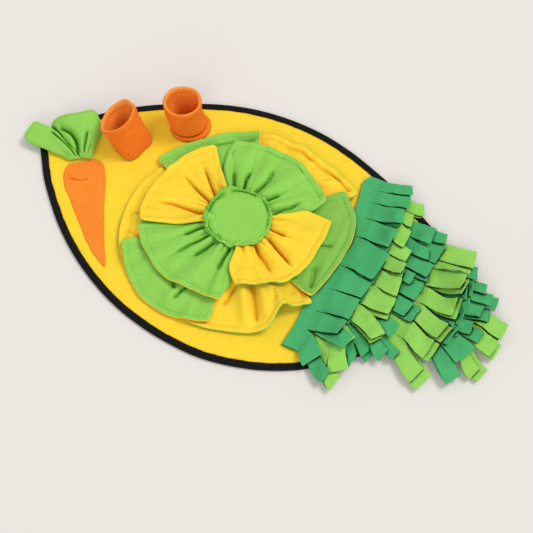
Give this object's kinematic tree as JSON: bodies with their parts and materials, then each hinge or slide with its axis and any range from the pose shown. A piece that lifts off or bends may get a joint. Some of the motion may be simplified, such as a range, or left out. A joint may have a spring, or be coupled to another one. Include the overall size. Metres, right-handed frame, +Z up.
{
  "type": "snuffle mat",
  "caption": "Pointed-oval fleece foraging mat with a layered petal flower, rows of cut fringe, a flat carrot with a gathered top, and open treat cups.",
  "frame": {"origin": "middle of the mat's outline, on its underside", "axes": "+X runs along the mat from the carrot end to the fringed tip, +Y to the long side where the cups stand, +Z up from the floor"},
  "size_m": [0.8092, 0.4388, 0.0755],
  "materials": {
    "mat_fleece": "matt yellow polar fleece",
    "binding_tape": "matt black woven binding tape",
    "petal_yellow": "matt yellow polar fleece, green on the back",
    "petal_green": "matt light green polar fleece, yellow on the back",
    "carrot_fleece": "matt orange polar fleece",
    "cup_fleece": "matt deep orange polar fleece",
    "tuft_fleece": "matt light green polar fleece",
    "fringe_dark": "matt tree green polar fleece",
    "fringe_light": "matt light green polar fleece"
  },
  "bodies": {
    "root": {"mat_base": "mat_fleece", "binding": "binding_tape", "carrot": "carrot_fleece", "carrot_tuft": "tuft_fleece", "cup_left": "cup_fleece", "cup_right": "cup_fleece", "flower_disc": "petal_green", "petal_low_a": "petal_green", "petal_low_b": "petal_yellow", "petal_low_c": "petal_green", "petal_low_d": "petal_yellow", "petal_low_e": "petal_green", "petal_low_f": "petal_yellow", "petal_top_a": "petal_yellow", "petal_top_b": "petal_green", "petal_top_c": "petal_yellow", "petal_top_d": "petal_green", "fringe_row_1": "fringe_dark", "fringe_row_2": "fringe_light", "fringe_row_3": "fringe_dark", "fringe_row_4": "fringe_light", "fringe_row_5": "fringe_dark", "fringe_row_6": "fringe_light"}
  },
  "joints": []
}
